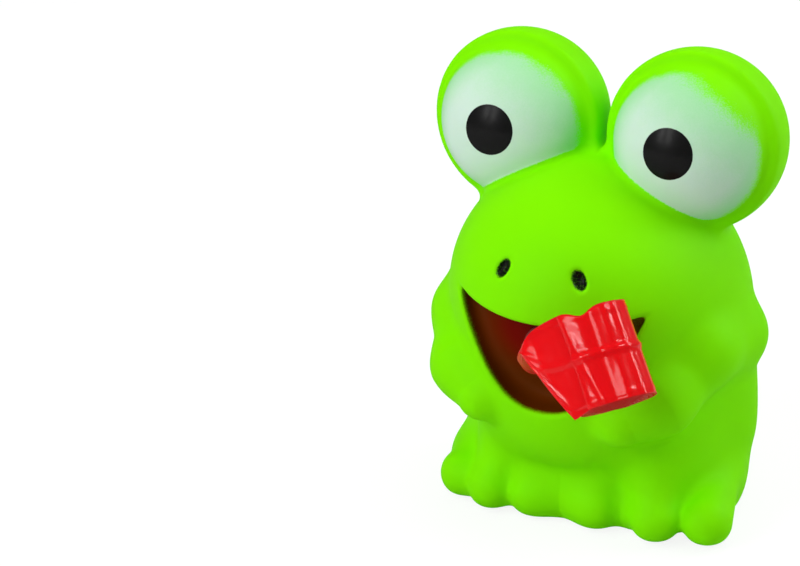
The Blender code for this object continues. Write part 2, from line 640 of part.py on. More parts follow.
def make_neck(path):
    """The film gathered from a round sleeve on the spigot to the flat strip: a loft between the two."""
    sleeve = NOZZLE_SPIGOT_RADIUS + FIT_GAP + NECK_WALL
    end = path.lead_start - path.run * FIT_GAP
    forward = Vector((0.0, -1.0, 0.0))
    bow = (end - path.sleeve_end).length / 2
    first_handle = path.sleeve_end + forward * bow
    last_handle = end - path.run * bow
    rings = [(path.sleeve_start, forward, 0.0)]
    for step in range(NECK_RINGS + 1):
        share = step / NECK_RINGS
        rest = 1.0 - share
        point = path.sleeve_end * rest ** 3 + first_handle * (3 * share * rest ** 2)
        point += last_handle * (3 * share ** 2 * rest) + end * share ** 3
        rings.append((point, forward.lerp(path.run, smooth_step(share)).normalized(), share))
    bm = bmesh.new()
    loops = []
    for point, along, share in rings:
        wide = (path.up - along * path.up.dot(along)).normalized()
        thick = along.cross(wide)
        half_width = sleeve + (FILM_WIDTH / 2 - sleeve) * smooth_step(share)
        half_thickness = sleeve + (FILM_THICKNESS / 2 - sleeve) * smooth_step(share)
        loop = []
        for corner in range(NECK_SIDES):
            angle = 2 * math.pi * corner / NECK_SIDES
            offset = wide * (half_width * math.cos(angle)) + thick * (half_thickness * math.sin(angle))
            loop.append(bm.verts.new(point + offset))
        loops.append(loop)
    for first, second in zip(loops, loops[1:]):
        for corner in range(NECK_SIDES):
            following = (corner + 1) % NECK_SIDES
            bm.faces.new((first[corner], first[following], second[following], second[corner]))
    bm.faces.new(loops[0])
    bm.faces.new(loops[-1])
    neck = make_object("tongue_neck", bm, PARTS, [FILM_RED])
    hole = NOZZLE_SPIGOT_RADIUS + FIT_GAP
    socket = [(0.0, NOZZLE_SPIGOT_LENGTH + FIT_GAP), (hole, NOZZLE_SPIGOT_LENGTH + FIT_GAP), (hole, -FIT_GAP)]
    drill = make_turned("spigot_socket", socket + [(0.0, -FIT_GAP)], CUTTERS, FILM_RED)
    seat_at(drill, path.sleeve_start.y + FIT_GAP)
    cut(neck, drill)
    return neck


def make_lead(path):
    """The flat film between the gathered neck and the roll."""
    length = LEAD_LENGTH - FIT_GAP
    slide = make_empty("tongue_slide", path.frame(path.lead_start))
    bm = bmesh.new()
    size = Matrix.Diagonal((FILM_THICKNESS, length, FILM_WIDTH, 1.0))
    bmesh.ops.create_cube(bm, size=1.0, matrix=Matrix.Translation((0.0, length / 2, 0.0)) @ size)
    lead = make_object("tongue_lead", bm, PARTS, [FILM_RED])
    lead.parent = slide
    return lead


def winding(radius, turns):
    """Points of a flat spiral that starts on local X, runs along local Y and closes in."""
    points = []
    for step in range(round(turns * POINTS_PER_TURN) + 1):
        angle = 2 * math.pi * step / POINTS_PER_TURN
        here = radius - ROLL_PITCH * step / POINTS_PER_TURN
        points.append(Vector((here * math.cos(angle), here * math.sin(angle), 0.0)))
    return points


def make_winding(name, points, width, thickness, material):
    """A strip wound along points, as an open surface with a thickness."""
    bm = bmesh.new()
    low = Vector((0.0, 0.0, -width / 2))
    verts = [bm.verts.new(point + low) for point in points]
    edges = [bm.edges.new(pair) for pair in zip(verts, verts[1:])]
    raised = bmesh.ops.extrude_edge_only(bm, edges=edges)
    moved = [item for item in raised["geom"] if isinstance(item, bmesh.types.BMVert)]
    bmesh.ops.translate(bm, verts=moved, vec=(0.0, 0.0, width))
    strip = make_object(name, bm, PARTS, [material])
    solidify = strip.modifiers.new("thickness", "SOLIDIFY")
    solidify.thickness = thickness
    solidify.offset = 0.0
    solidify.use_even_offset = True
    return strip


def least_gap(points, thickness):
    """The narrowest air between turns that lie one over the other."""
    nearest = min((a - b).length for i, a in enumerate(points) for b in points[i + POINTS_PER_TURN // 2:])
    return nearest - thickness


def make_roll(path):
    curl = make_empty("tongue_curl", path.frame(path.centre))
    film_points = winding(WIND_RADIUS, ROLL_TURNS)
    strip_points = winding(WIND_RADIUS - ROLL_PITCH / 2, ROLL_TURNS - 0.5)
    roll = make_winding("tongue_roll", film_points, FILM_WIDTH, FILM_THICKNESS, FILM_RED)
    strip = make_winding("curl_strip", strip_points, CURL_STRIP_WIDTH, CURL_STRIP_THICKNESS, STRIP_CLEAR)
    roll.parent = curl
    strip.parent = curl
    length = sum((b - a).length for a, b in zip(film_points, film_points[1:]))
    print("film wound on the roll, mm:", round(length / MM, 2))
    print("least gap between turns, mm:", round(least_gap(film_points, FILM_THICKNESS) / MM, 3))
    return roll


def report_joints(path):
    for label, vector in (("roll centre", path.centre), ("lead start", path.lead_start)):
        print(label, "mm:", [round(value / MM, 3) for value in vector])
    for label, vector in (("film runs", path.run), ("roll axis up", path.up), ("roll out", path.out)):
        print(label + ":", [round(value, 6) for value in vector])


clear_scene()
SIDE_NAMES = {1: "_left", -1: "_right"}
PARTS = make_collection("tongue_frog_squeeze_toy")
CUTTERS = make_collection("cutters")
VINYL = make_material("vinyl_lime", (0.21, 0.78, 0.0), 0.5)
EYE_WHITE = make_material("eye_white_paint", (0.55, 0.80, 0.62), 0.45)
BLACK = make_material("black_paint", (0.01, 0.01, 0.01), 0.25)
MOUTH_RED = make_material("mouth_paint", (0.12, 0.01, 0.0), 0.5)
PLUG_CLEAR = make_material("plug_plastic", (0.75, 0.8, 0.72), 0.4)
NOZZLE_WHITE = make_material("nozzle_plastic", (0.85, 0.85, 0.82), 0.35)
FILM_RED = make_material("film_red", (0.85, 0.0, 0.01), 0.15)
STRIP_CLEAR = make_material("curl_strip_plastic", (0.8, 0.1, 0.1), 0.3)
make_body_shell()
make_base_plug()
make_nozzle()
PATH = TonguePath()
make_neck(PATH)
make_lead(PATH)
make_roll(PATH)
report_joints(PATH)
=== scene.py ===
"""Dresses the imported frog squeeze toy: vinyl skin, sprayed paint, a red film tongue and a plain studio."""
import json
import math

import bpy
import numpy as np
from mathutils import Matrix, Vector


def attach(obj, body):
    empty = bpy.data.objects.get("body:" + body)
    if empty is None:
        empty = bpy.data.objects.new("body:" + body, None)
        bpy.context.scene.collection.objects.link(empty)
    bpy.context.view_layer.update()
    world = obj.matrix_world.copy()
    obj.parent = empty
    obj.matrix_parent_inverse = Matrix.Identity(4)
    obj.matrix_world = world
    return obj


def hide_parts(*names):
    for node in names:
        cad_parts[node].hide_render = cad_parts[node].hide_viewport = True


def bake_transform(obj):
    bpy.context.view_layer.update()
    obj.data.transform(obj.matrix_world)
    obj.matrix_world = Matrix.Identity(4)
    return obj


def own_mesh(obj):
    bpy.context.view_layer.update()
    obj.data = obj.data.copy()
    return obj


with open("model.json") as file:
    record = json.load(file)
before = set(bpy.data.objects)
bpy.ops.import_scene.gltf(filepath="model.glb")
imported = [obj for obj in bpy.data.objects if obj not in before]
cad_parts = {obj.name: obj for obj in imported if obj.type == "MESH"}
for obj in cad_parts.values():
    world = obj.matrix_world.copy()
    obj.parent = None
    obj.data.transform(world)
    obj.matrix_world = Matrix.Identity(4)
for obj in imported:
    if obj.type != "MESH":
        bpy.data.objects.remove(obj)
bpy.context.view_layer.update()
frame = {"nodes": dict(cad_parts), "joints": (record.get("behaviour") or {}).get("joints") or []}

# Lengths are in millimetres unless a comment says otherwise.
MM = 0.001

# Rounded forms of the moulding: centre and full size. The frog faces -Y, and the right half is mirrored.
TORSO = ((0.0, 1.5, 36.5), (55.2, 49.2, 55.0))
HEAD = ((0.0, -6.5, 43.5), (49.2, 48.8, 45.2))
BELLY = ((0.0, -10.0, 28.0), (42.0, 37.0, 38.0))
HIP = ((13.5, 4.0, 17.0), (30.4, 21.0, 38.0))
KNEE = ((13.6, -7.0, 14.0), (17.0, 22.0, 20.0))
FOOT = ((13.6, -2.2, 4.5), (29.4, 34.0, 20.0))
FOOT_SPLAY = math.radians(8.0)
SEAT = ((0.0, -2.0, 6.0), (34.0, 37.0, 24.0))
# The legs are not quite alike: the pair of knees and the outer pairs of toes are pushed aside a little.
KNEE_ASIDE = 3.0
# Toes: place across, place forward, radius, how far the root lies back and up, and the push aside.
TOES = (
    (6.2, 17.2, 4.9, 4.5, 13.0, 0.0),
    (16.2, 17.9, 4.7, 4.5, 13.0, 1.7),
    (24.1, 15.6, 4.6, 13.0, 8.0, 2.8),
)
TOE_TIP_LEVEL = 4.6
TOE_ROOT_GATHER = 0.9
TOE_ROOT_TAPER = 0.8
# Arm from shoulder to hand: middle and radius at each bend.
ARM = (
    ((23.4, 3.0, 33.5), 7.4),
    ((21.7, -9.0, 35.0), 7.4),
    ((18.3, -18.6, 28.9), 6.6),
    ((13.5, -23.6, 25.6), 4.6),
)

# How far the forms run into each other.
HEAD_MELT = 7.0
BELLY_MELT = 6.0
LEG_MELT = 9.0
HIP_MELT = 8.0
TOE_MELT = 1.9
FOOT_MELT = 4.0
ARM_BEND = 3.0
ARM_MELT = 2.6
SEAT_MELT = 3.5
HOOD_MELT = 3.0
RIM_ROUNDING = 1.2
EYE_GROOVE = 1.8
LIP_ROUNDING = 1.2
CORNER_ROUNDING = 1.2
MOUTH_HOLLOW = 4.0
NOSTRIL_ROUNDING = 0.8
BASE_ROUNDING = 2.0

# The box that is sampled for the skin, and the spacing of the samples.
SKIN_LOW = (-36.5, -36.0, -2.5)
SKIN_HIGH = (36.5, 30.5, 89.5)
SKIN_STEP = 0.54

# Eyes.
EYE_CENTRE = (17.0, 2.5, 70.0)
HOOD_RADIUS = 16.4
EYEBALL_RADIUS = 14.6
RIM_FORWARD = 3.0
RIM_TILT = math.radians(5.7)
PUPIL_RADIUS = 4.65
PUPIL_RISE = math.radians(7.6)
WHITE_SPREAD = math.radians(69.0)
# The white stops where the skin leaves the eyeball: how far off it paint still sits, and how sharply it ends.
WHITE_SEAM = 0.14
WHITE_SEAM_SHARPNESS = 25.0
WHITE_SEAM_LIMITS = (-3.0, 9.0)
EYE_PAINT_REACH = 20.0
# The eye white was sprayed from one side: the way it thins out, how softly, and its reach on each eye.
SPRAY_LEAN = (0.524, 0.484, 0.698)
SPRAY_FADE = 0.6
SPRAY_REACH_LEFT = 7.0
SPRAY_REACH_RIGHT = 9.3
# What a paint mask holds where there is none of its paint.
UNPAINTED = -9.0

# Mouth and nostrils.
MOUTH_HALF = 17.8
MOUTH_CORNER_LEVEL = 46.0
UPPER_LIP_LEVEL = 44.3
LOWER_LIP_LEVEL = 26.7
LIP_BLUNTNESS = 2.4
MOUTH_FLOOR = ((0.0, -6.5, 39.5), (49.2, 35.8, 45.2))
MOUTH_BACK = -12.0
NOSTRIL = (7.2, -28.0, 53.1)
NOSTRIL_SIZE = (2.4, 4.0, 4.2)
NOSTRIL_LEAN = math.radians(-30.0)
NOSTRIL_PAINT_RIM = 0.1
# Paint in the mouth: its depth from the lips, and how it thins towards the left corner.
MOUTH_PAINT_FRONT = -15.0
MOUTH_PAINT_DEPTH = 3.0
LIP_PAINT_FADE = 2.0
LIP_PAINT_INSET = 0.15
CORNER_THINNING = 1.9
CORNER_THINNING_FROM = 8.0
CORNER_THINNING_REACH = 6.0
# The redder middle of the mouth: place and half size across and up.
BLUSH_MIDDLE = (-1.0, 41.0)
BLUSH_HALF = (15.0, 12.0)
BLUSH_STRENGTH = 1.6

# Holes for the fittings: radius and depth from below for the plug, radius and inner end for the nozzle.
PLUG_HOLE = (9.5, 1.3)
PLUG_POCKET = (8.7, 5.8)
NOZZLE_HOLE_RADIUS = 3.8
NOZZLE_HOLE_END = -17.9

# Film tongue: sleeve on the nozzle and gathered neck.
NOZZLE_LEVEL = 38.0
SLEEVE_START = -25.96
SLEEVE_END = -29.36
SLEEVE_RADIUS = 3.0
SLEEVE_RINGS = 6
NECK_RADIUS = 1.7
NECK_RINGS = 30
NECK_NARROWING = 3.0
NECK_CLOSES_FROM = 0.4
FILM_SIDES = 128
FILM_SHARP_EDGE = math.radians(60.0)
# The fold that the neck runs into, and the fan from there to the roll.
FOLD_REACH = 8.8
FOLD_TOP = 5.9
FOLD_BOTTOM = 4.0
FOLD_BULK = 1.2
FAN_BULK = 0.14
FAN_END_BULK = 0.03
FAN_FLATTENING = 2.5
FAN_TOP_BLUNTNESS = 2.4
FAN_RINGS = 40
FAN_END_FROM = 0.8
FAN_END_RINGS = 45
CORNER_SHARE = 0.68
CORNER_LEVEL = -9.3
# Lengths of the handles that bow the neck and the fan.
SLEEVE_HANDLE = 4.0
FOLD_HANDLE = 2.0
FAN_HANDLE = 2.5
LANDING_HANDLE = 4.0
# Pleats along the film: height in the neck, growth in the fan, then how close broad and fine ones lie.
NECK_PLEATS = 0.05
FAN_PLEATS = 0.25
BROAD_PLEATS = 6.5
BROAD_PLEAT_SHIFT = 1.0
FINE_PLEATS = 15.0
FINE_PLEAT_SHARE = 0.6
PLEAT_BULGE = 0.5
# The cut edge, rougher and darkened with painted shade: how sharply it ends, and how strongly painted shade
# darkens the gathered neck as a whole.
EDGE_SHARPNESS = 40.0
NECK_SHADE = 0.7
NECK_SHADE_FADE = 5.0

# Roll of film and the curl strip in it.
FILM_TOP = 8.0
FILM_BOTTOM = -8.8
FILM_THICKNESS = 0.24
ROLL_RADIUS = 6.3
ROLL_PITCH = 0.62
ROLL_TURNS = 7
ROLL_STEPS_IN_TURN = 96
ROLL_SAG = 1.5
ROLL_SAG_ANGLE = math.radians(172.0)
ROLL_SAG_SPREAD = math.radians(52.0)
EDGE_DENT = 1.2
EDGE_DENT_ANGLE = math.radians(75.0)
EDGE_DENT_SPREAD = math.radians(17.0)
# Where the roll takes the film up, and how far its first end is tucked under that.
TAKE_UP = math.radians(40.0)
TUCK_UNDER = math.radians(15.0)
TUCK_DEPTH = 0.5
# The turns don't lie level: a swing round the roll, and a step down with each turn.
WINDING_SWING = 0.35
WINDING_SWING_SHIFT = 0.6
WINDING_STEP = 0.08
CURL_STRIP_WIDTH = 1.6
STRIP_THICKNESS = 0.12
STRIP_STEPS_IN_TURN = 60
STRIP_FIRST_TURN = 0.5
# Lines that stand up from the film, height and half width: the strip under it and the weld along each edge.
STRIP_LINE = (0.34, 0.55)
STRIP_LINE_LIFT = 1.8
WELD_LINE = (0.10, 0.4)
WELD_INSET = 1.2
# Soft flats round the roll: height, closeness and shift.
FLATS = ((0.07, 5.0, 0.6), (0.03, 9.0, 2.2))
# Creases along the roll: angle round it at its middle, height, half width and lean per millimetre of level.
CREASES = (
    (0.93, 0.26, 0.10, -0.031),
    (1.90, 0.17, 0.13, 0.006),
    (2.28, 0.26, 0.09, 0.0),
    (3.6, 0.2, 0.12, 0.01),
    (4.7, 0.22, 0.11, -0.01),
)
# Flats and creases begin where the roll does, and creases are lower near the strip.
CREASES_FROM = math.radians(24.0)
CREASES_RISE = math.radians(48.0)
CREASE_BREAK = 0.45
CREASE_BREAK_REACH = 4.0

# Colours, as linear red, green and blue.
LIME = (0.195, 0.80, 0.0)
LIME_PALE = (0.215, 0.84, 0.0)
EYE_WHITE = (0.60, 0.78, 0.66)
EYE_WHITE_THIN = (0.34, 0.72, 0.36)
MOUTH_BROWN = (0.105, 0.021, 0.0)
MOUTH_RED = (0.15, 0.002, 0.0)
PAINT_BLACK = (0.004, 0.004, 0.004)
FILM_RED = (0.78, 0.0, 0.002)
FILM_RED_PALE = (0.86, 0.0, 0.004)
# Painted shade: the darker red given to the film's cut edge and gathered neck.
FILM_RED_SHADED = (0.56, 0.0, 0.0)
STRIP_RED = (0.70, 0.05, 0.05)
STRIP_RED_PALE = (0.78, 0.10, 0.09)
PLUG_GREEN = (0.62, 0.68, 0.58)
PLUG_GREEN_PALE = (0.72, 0.77, 0.68)
NOZZLE_RED = (0.16, 0.004, 0.002)
NOZZLE_RED_PALE = (0.20, 0.006, 0.003)
FLOOR_GREY = (0.62, 0.62, 0.62)
FLOOR_GREY_PALE = (0.64, 0.64, 0.64)
PLAIN_WHITE = (1.0, 1.0, 1.0, 1.0)

# Camera, fitted to the right-hand frog of the photograph.
VIEW_AZIMUTH = math.radians(22.7)
VIEW_ELEVATION = math.radians(19.3)
VIEW_DISTANCE = 450.0
VIEW_SCALE = 5.551
VIEW_WIDENING = 0.995
VIEW_POINT = (0.0, 2.5, 70.0)
VIEW_POINT_PIXEL = (608.8, 127.2)
IMAGE_SIZE = (800, 566)
SENSOR = 36.0

# Studio: a wide floor just under the toy, and what the camera alone sees of floor and world.
FLOOR_HALF = 3000.0
FLOOR_LEVEL = -0.02
FLOOR_GLOW = 1.17
FLOOR_GLOW_SHARE = 0.75
WORLD_FILL = 0.25
# Lamps, in metres and watts: name, place, size, power, and whether it shows in glossy surfaces alone.
LAMPS = (
    ("key", (-0.36, -0.54, 0.58), (0.45, 0.60), 3.5, False),
    ("side", (0.62, 0.14, 0.50), (0.25, 0.50), 1.3, False),
    ("top", (0.05, 0.15, 0.75), (0.50, 0.50), 1.8, False),
    ("left", (-0.31, -0.68, 0.38), (0.14, 0.40), 1.4, False),
    ("right", (0.55, 0.39, 0.44), (0.20, 0.45), 1.6, False),
    ("left_strip", (-0.31, -0.68, 0.38), (0.18, 0.40), 4.0, True),
    ("middle_strip", (0.38, -0.35, 0.66), (0.10, 0.45), 0.8, True),
    ("right_strip", (0.55, 0.39, 0.44), (0.32, 0.45), 6.8, True),
)
LAMP_AIM = (0.0, 0.0, 0.05)


def egg(points, form, turn=0.0):
    """How far points lie outside an egg shape, below zero inside it."""
    away = points - np.array(form[0], np.float32)
    if turn:
        spin = np.array(Matrix.Rotation(turn, 3, "Z"), np.float32)
        away = away @ spin
    half = np.array(form[1], np.float32) / 2
    scaled = np.sqrt(((away / half) ** 2).sum(1))
    slope = np.sqrt(((away / half ** 2) ** 2).sum(1))
    return scaled * (scaled - 1) / np.maximum(slope, 1e-6)


def rod(points, start, end, start_radius, end_radius):
    """How far points lie outside a tapering round rod."""
    start = np.array(start, np.float32)
    along = np.array(end, np.float32) - start
    away = points - start
    share = np.clip(away @ along / (along @ along), 0, 1)
    gap = away - share[:, None] * along
    return np.sqrt((gap ** 2).sum(1)) - (start_radius + (end_radius - start_radius) * share)


def melt(first, second, reach):
    """Joins two forms with a soft fillet."""
    share = np.clip(0.5 + 0.5 * (second - first) / reach, 0, 1)
    return second + (first - second) * share - reach * share * (1 - share)


def carve(first, second, reach):
    """Keeps what lies in both forms, with a rounded edge."""
    return -melt(-first, -second, reach)


def folded(points):
    """Points of the frog's right half moved onto its left half."""
    half = points.copy()
    half[:, 0] = np.abs(half[:, 0])
    return half


def pushed(points, aside):
    """The same, about a middle that is pushed aside."""
    moved = points.copy()
    moved[:, 0] -= aside
    return folded(moved)


def foot_field(points):
    """Both feet with their toes."""
    foot = egg(folded(points), FOOT, FOOT_SPLAY)
    for across, forward, radius, setback, root_level, aside in TOES:
        root = (across * TOE_ROOT_GATHER, setback - forward, root_level)
        tip = (across, -forward, TOE_TIP_LEVEL)
        toe = rod(pushed(points, aside), root, tip, radius * TOE_ROOT_TAPER, radius)
        foot = melt(foot, toe, TOE_MELT)
    return foot


def arm_field(half):
    """One arm, as rods from bend to bend."""
    arm = None
    for (start, start_radius), (end, end_radius) in zip(ARM, ARM[1:]):
        piece = rod(half, start, end, start_radius, end_radius)
        arm = piece if arm is None else melt(arm, piece, ARM_BEND)
    return arm


def trunk_field(points):
    """Body, head and eyes, without mouth, nostrils or holes."""
    half = folded(points)
    skin = melt(egg(half, TORSO), egg(half, HEAD), HEAD_MELT)
    skin = melt(skin, egg(half, BELLY), BELLY_MELT)
    leg = melt(egg(half, HIP), egg(pushed(points, KNEE_ASIDE), KNEE), LEG_MELT)
    skin = melt(skin, leg, HIP_MELT)
    skin = melt(skin, foot_field(points), FOOT_MELT)
    skin = melt(skin, arm_field(half), ARM_MELT)
    skin = melt(skin, egg(half, SEAT), SEAT_MELT)
    away = half - np.array(EYE_CENTRE, np.float32)
    facing = np.array((0.0, -math.cos(RIM_TILT), math.sin(RIM_TILT)), np.float32)
    reach = np.sqrt((away ** 2).sum(1))
    hood = carve(reach - HOOD_RADIUS, away @ facing - RIM_FORWARD, RIM_ROUNDING)
    skin = melt(skin, hood, HOOD_MELT)
    skin = melt(skin, reach - EYEBALL_RADIUS, EYE_GROOVE)
    return carve(skin, -points[:, 2], BASE_ROUNDING)


def lip_field(points):
    """How far points lie outside the mouth's outline, seen from the front."""
    level = points[:, 2]
    share = np.abs(points[:, 0]) / MOUTH_HALF
    rise = MOUTH_CORNER_LEVEL - LOWER_LIP_LEVEL
    lower = LOWER_LIP_LEVEL + rise * share ** LIP_BLUNTNESS
    upper = UPPER_LIP_LEVEL + (MOUTH_CORNER_LEVEL - UPPER_LIP_LEVEL) * share ** 2
    slope = LIP_BLUNTNESS * rise * share ** (LIP_BLUNTNESS - 1) / MOUTH_HALF
    below = (lower - level) / np.sqrt(1 + slope ** 2)
    return carve(below, level - upper, CORNER_ROUNDING)


def nostril_field(points):
    """Both nostril dents."""
    half = folded(points) - np.array(NOSTRIL, np.float32)
    turn = np.array(Matrix.Rotation(NOSTRIL_LEAN, 3, "Y"), np.float32)
    return egg(half @ turn, ((0.0, 0.0, 0.0), NOSTRIL_SIZE))


def hole_field(points):
    """The stepped hole for the base plug and the hole for the nozzle in the back of the mouth."""
    from_plug = np.sqrt(points[:, 0] ** 2 + points[:, 1] ** 2)
    head = np.maximum(from_plug - PLUG_HOLE[0], points[:, 2] - PLUG_HOLE[1])
    stem = np.maximum(from_plug - PLUG_POCKET[0], points[:, 2] - PLUG_POCKET[1])
    from_nozzle = np.sqrt(points[:, 0] ** 2 + (points[:, 2] - NOZZLE_LEVEL) ** 2)
    bore = np.maximum(from_nozzle - NOZZLE_HOLE_RADIUS, points[:, 1] - NOZZLE_HOLE_END)
    return np.minimum(np.minimum(head, stem), bore)


def skin_field(points):
    """The whole moulding, with mouth, nostrils and holes cut in."""
    mouth = carve(lip_field(points), -egg(points, MOUTH_FLOOR), MOUTH_HOLLOW)
    mouth = np.maximum(mouth, points[:, 1] - MOUTH_BACK)
    skin = carve(trunk_field(points), -mouth, LIP_ROUNDING)
    skin = carve(skin, -nostril_field(points), NOSTRIL_ROUNDING)
    return np.maximum(skin, -hole_field(points))


def settle(points, field, rounds):
    """Moves points along the field's slope onto its surface; returns the outward directions too."""
    nudge = np.float32(0.05)
    least_slope = 0.05
    longest_move = 0.6
    for _ in range(rounds):
        slope = np.empty_like(points)
        for axis in range(3):
            step = np.zeros(3, np.float32)
            step[axis] = nudge
            slope[:, axis] = (field(points + step) - field(points - step)) / (2 * nudge)
        size = np.maximum((slope ** 2).sum(1), least_slope)
        shift = np.clip(field(points) / size, -longest_move, longest_move)
        points = points - slope * shift[:, None]
    return points, slope / np.sqrt(size)[:, None]


def sample_grid(field, low, high, step):
    """Field values on an even grid."""
    across = np.arange(low[0], high[0], step, dtype=np.float32)
    deep = np.arange(low[1], high[1], step, dtype=np.float32)
    tall = np.arange(low[2], high[2], step, dtype=np.float32)
    values = np.empty((len(across), len(deep), len(tall)), np.float32)
    flat = np.stack(np.meshgrid(deep, tall, indexing="ij"), -1).reshape(-1, 2)
    for index, place in enumerate(across):
        points = np.column_stack((np.full(len(flat), place, np.float32), flat))
        values[index] = field(points).reshape(len(deep), len(tall))
    return values


def wrap_grid(values, origin, step):
    """Wraps the zero surface of sampled values in four-sided faces, with a point in each cell it crosses."""
    inside = values < 0
    shape = np.array(values.shape) - 1
    corners = [(i, j, k) for i in (0, 1) for j in (0, 1) for k in (0, 1)]
    count = np.zeros(shape, np.int8)
    for i, j, k in corners:
        count += inside[i:i + shape[0], j:j + shape[1], k:k + shape[2]]
    cells = np.argwhere((count > 0) & (count < 8))
    total = np.zeros((len(cells), 3), np.float32)
    hits = np.zeros(len(cells), np.float32)
    for first in corners:
        for second in corners:
            if sum(second) - sum(first) != 1 or sum(a != b for a, b in zip(first, second)) != 1:
                continue
            here = values[tuple((cells + first).T)]
            there = values[tuple((cells + second).T)]
            crossed = (here < 0) != (there < 0)
            share = np.where(crossed, here / np.where(crossed, here - there, 1), 0)[:, None]
            place = np.array(first, np.float32) + share * (np.array(second) - np.array(first))
            total += np.where(crossed[:, None], place, 0)
            hits += crossed
    points = origin + step * (cells + total / hits[:, None])
    number = np.full(shape, -1, np.int64)
    number[tuple(cells.T)] = np.arange(len(cells))
    faces = []
    for axis in range(3):
        ahead = np.roll(inside, -1, axis)
        edges = np.argwhere(inside != ahead)
        edges = edges[(edges < shape).all(1) & (np.delete(edges, axis, 1) > 0).all(1)]
        one, two = [other for other in range(3) if other != axis]
        ring = []
        for back_one, back_two in ((1, 1), (0, 1), (0, 0), (1, 0)):
            cell = edges.copy()
            cell[:, one] -= back_one
            cell[:, two] -= back_two
            ring.append(number[tuple(cell.T)])
        quads = np.column_stack(ring)
        leaving = inside[tuple(edges.T)]
        flip = leaving if axis == 1 else ~leaving
        quads[flip] = quads[flip][:, ::-1]
        faces.append(quads)
    return points.astype(np.float32), np.concatenate(faces)


def relax(points, faces):
    """Evens out the spacing of points by moving each half way to the middle of its neighbours."""
    total = np.zeros_like(points)
    count = np.zeros(len(points), np.float32)
    for start, end in zip(range(4), (1, 2, 3, 0)):
        np.add.at(total, faces[:, start], points[faces[:, end]])
        np.add.at(count, faces[:, start], 1)
    return (points + total / count[:, None]) / 2


def add_mesh(name, points, faces, material):
    """A smooth mesh object from points in millimetres."""
    mesh = bpy.data.meshes.new(name)
    mesh.from_pydata((np.asarray(points, float) * MM).tolist(), [], [tuple(face) for face in faces])
    mesh.materials.append(material)
    mesh.shade_smooth()
    mesh.update()
    piece = bpy.data.objects.new(name, mesh)
    bpy.context.scene.collection.objects.link(piece)
    return piece


def add_values(piece, name, values):
    """Keeps one number for each point, for the paint to read."""
    attribute = piece.data.attributes.new(name, "FLOAT", "POINT")
    attribute.data.foreach_set("value", np.asarray(values, np.float32))


def finished(piece):
    """Turns a piece's modifiers into plain mesh."""
    graph = bpy.context.evaluated_depsgraph_get()
    mesh = bpy.data.meshes.new_from_object(piece.evaluated_get(graph))
    piece.modifiers.clear()
    piece.data = mesh
    return piece


class Shading:
    """A material's node tree, with short calls for the nodes it needs."""

    def __init__(self, name):
        self.material = bpy.data.materials.new(name)
        self.material.use_nodes = True
        self.nodes = self.material.node_tree.nodes
        self.links = self.material.node_tree.links
        self.shader = self.nodes["Principled BSDF"]
        self.place = self.nodes.new("ShaderNodeTexCoord").outputs["Object"]

    def link(self, source, target):
        """Joins two sockets."""
        self.links.new(source, target)

    def put(self, target, value):
        """Links a socket to the target, or sets the target to a plain value."""
        if isinstance(value, bpy.types.NodeSocket):
            self.link(value, target)
        else:
            target.default_value = value

    def set(self, **values):
        """Sets the shader's own inputs by name."""
        for name, value in values.items():
            self.put(self.shader.inputs[name.replace("_", " ")], value)

    def stored(self, name):
        """A number that the mesh keeps for each point."""
        node = self.nodes.new("ShaderNodeAttribute")
        node.attribute_name = name
        return node.outputs["Fac"]

    def noise(self, size, detail=3.0, rough=0.55):
        """Noise from 0 to 1 whose blotches are about the given size in millimetres."""
        node = self.nodes.new("ShaderNodeTexNoise")
        self.link(self.place, node.inputs["Vector"])
        node.inputs["Scale"].default_value = 1.0 / (size * MM)
        node.inputs["Detail"].default_value = detail
        node.inputs["Roughness"].default_value = rough
        return node.outputs["Fac"]

    def math(self, operation, first, second=0.0, third=0.0):
        """The result of a math node."""
        node = self.nodes.new("ShaderNodeMath")
        node.operation = operation
        for socket, value in zip(node.inputs, (first, second, third)):
            self.put(socket, value)
        return node.outputs[0]

    def swing(self, noise, reach):
        """Noise turned into a swing to either side of zero."""
        return self.math("MULTIPLY_ADD", noise, 2 * reach, -reach)

    def ramp(self, value, low, high):
        """0 below low, 1 above high and a smooth rise between."""
        node = self.nodes.new("ShaderNodeMapRange")
        node.interpolation_type = "SMOOTHSTEP"
        self.put(node.inputs["Value"], value)
        node.inputs["From Min"].default_value = low
        node.inputs["From Max"].default_value = high
        return node.outputs["Result"]

    def mix(self, share, first, second):
        """A colour between two others."""
        node = self.nodes.new("ShaderNodeMix")
        node.data_type = "RGBA"
        colours = [socket for socket in node.inputs if socket.type == "RGBA"]
        self.put(node.inputs["Factor"], share)
        for socket, value in zip(colours, (first, second)):
            self.put(socket, value if isinstance(value, bpy.types.NodeSocket) else (*value, 1.0))
        return [socket for socket in node.outputs if socket.type == "RGBA"][0]

    def bump(self, height, strength, distance):
        """Fine relief, at most the given distance in millimetres high."""
        node = self.nodes.new("ShaderNodeBump")
        node.inputs["Strength"].default_value = strength
        node.inputs["Distance"].default_value = distance * MM
        self.link(height, node.inputs["Height"])
        self.link(node.outputs["Normal"], self.shader.inputs["Normal"])


